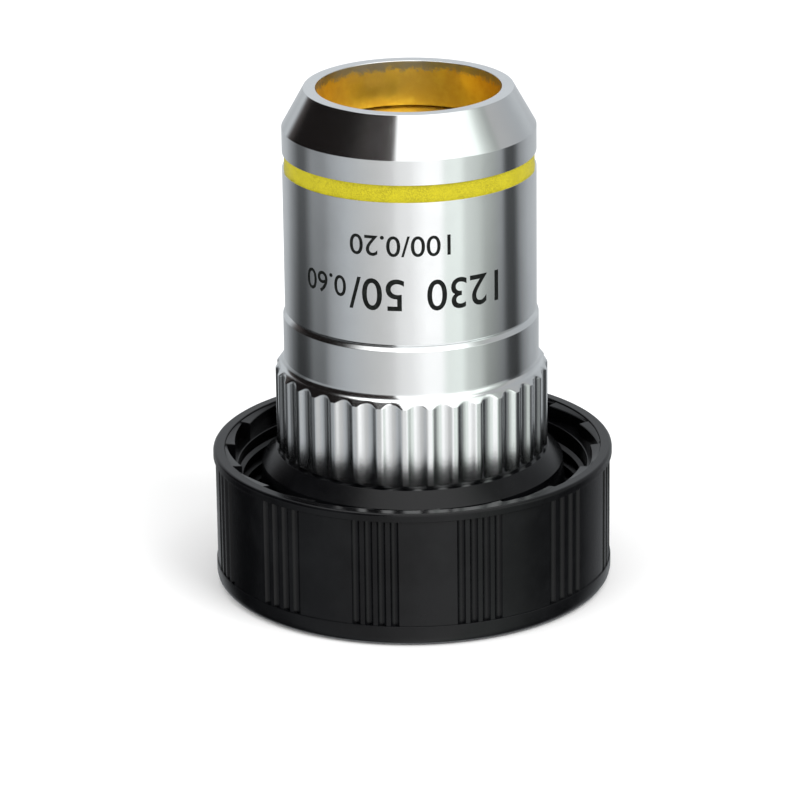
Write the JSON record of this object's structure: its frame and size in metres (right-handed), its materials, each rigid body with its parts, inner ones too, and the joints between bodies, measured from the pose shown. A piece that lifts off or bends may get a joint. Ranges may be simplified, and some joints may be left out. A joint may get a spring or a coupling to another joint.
{
  "type": "microscope objective",
  "caption": "Chrome-plated microscope objective with a bevelled nose, colour band and fluted ring, screwed by its mounting thread into a round black storage cap.",
  "frame": {"origin": "centre of the storage cap's foot, on the optical axis", "axes": "+Z along the optical axis towards the nose, -Y is the front, where the engraved numbers are"},
  "size_m": [0.0384, 0.0384, 0.0489],
  "materials": {
    "chrome_plate": "bright, fine turned",
    "turned_brass": "turned",
    "lens_glass": "coated",
    "blackened_brass": "matt black",
    "yellow_enamel": "satin",
    "black_plastic": "satin"
  },
  "bodies": {
    "cap": {"storage_cap": "black_plastic"},
    "screw_carrier": {"aperture_stop": "blackened_brass"},
    "objective": {"outer_sleeve": "chrome_plate", "mount_body": "chrome_plate", "front_retaining_ring": "turned_brass", "parfocal_ring": "turned_brass", "lock_ring": "turned_brass", "front_lens": "lens_glass", "front_doublet_flint": "lens_glass", "front_doublet_crown": "lens_glass", "rear_doublet_flint": "lens_glass", "rear_doublet_crown": "lens_glass", "rear_lens": "lens_glass", "lens_barrel": "blackened_brass", "front_cell": "blackened_brass", "front_spacer": "blackened_brass", "front_doublet_cell": "blackened_brass", "middle_spacer": "blackened_brass", "rear_doublet_cell": "blackened_brass", "rear_spacer": "blackened_brass", "rear_cell": "blackened_brass", "colour_band": "yellow_enamel"}
  },
  "joints": [
    {"name": "unscrew_lift", "type": "slide", "parent": "cap", "child": "screw_carrier", "axis": [0, 0, 1], "range_m": [0, 0.00423]},
    {"name": "unscrew_turn", "type": "hinge", "parent": "screw_carrier", "child": "objective", "pos_m": [0, 0, 0.0133], "axis": [0, 0, 1], "range_deg": [0, 2160]}
  ],
  "couplings": [
    {"joint": "unscrew_lift", "follows": "unscrew_turn", "m_per_rad": 0.00011229}
  ]
}
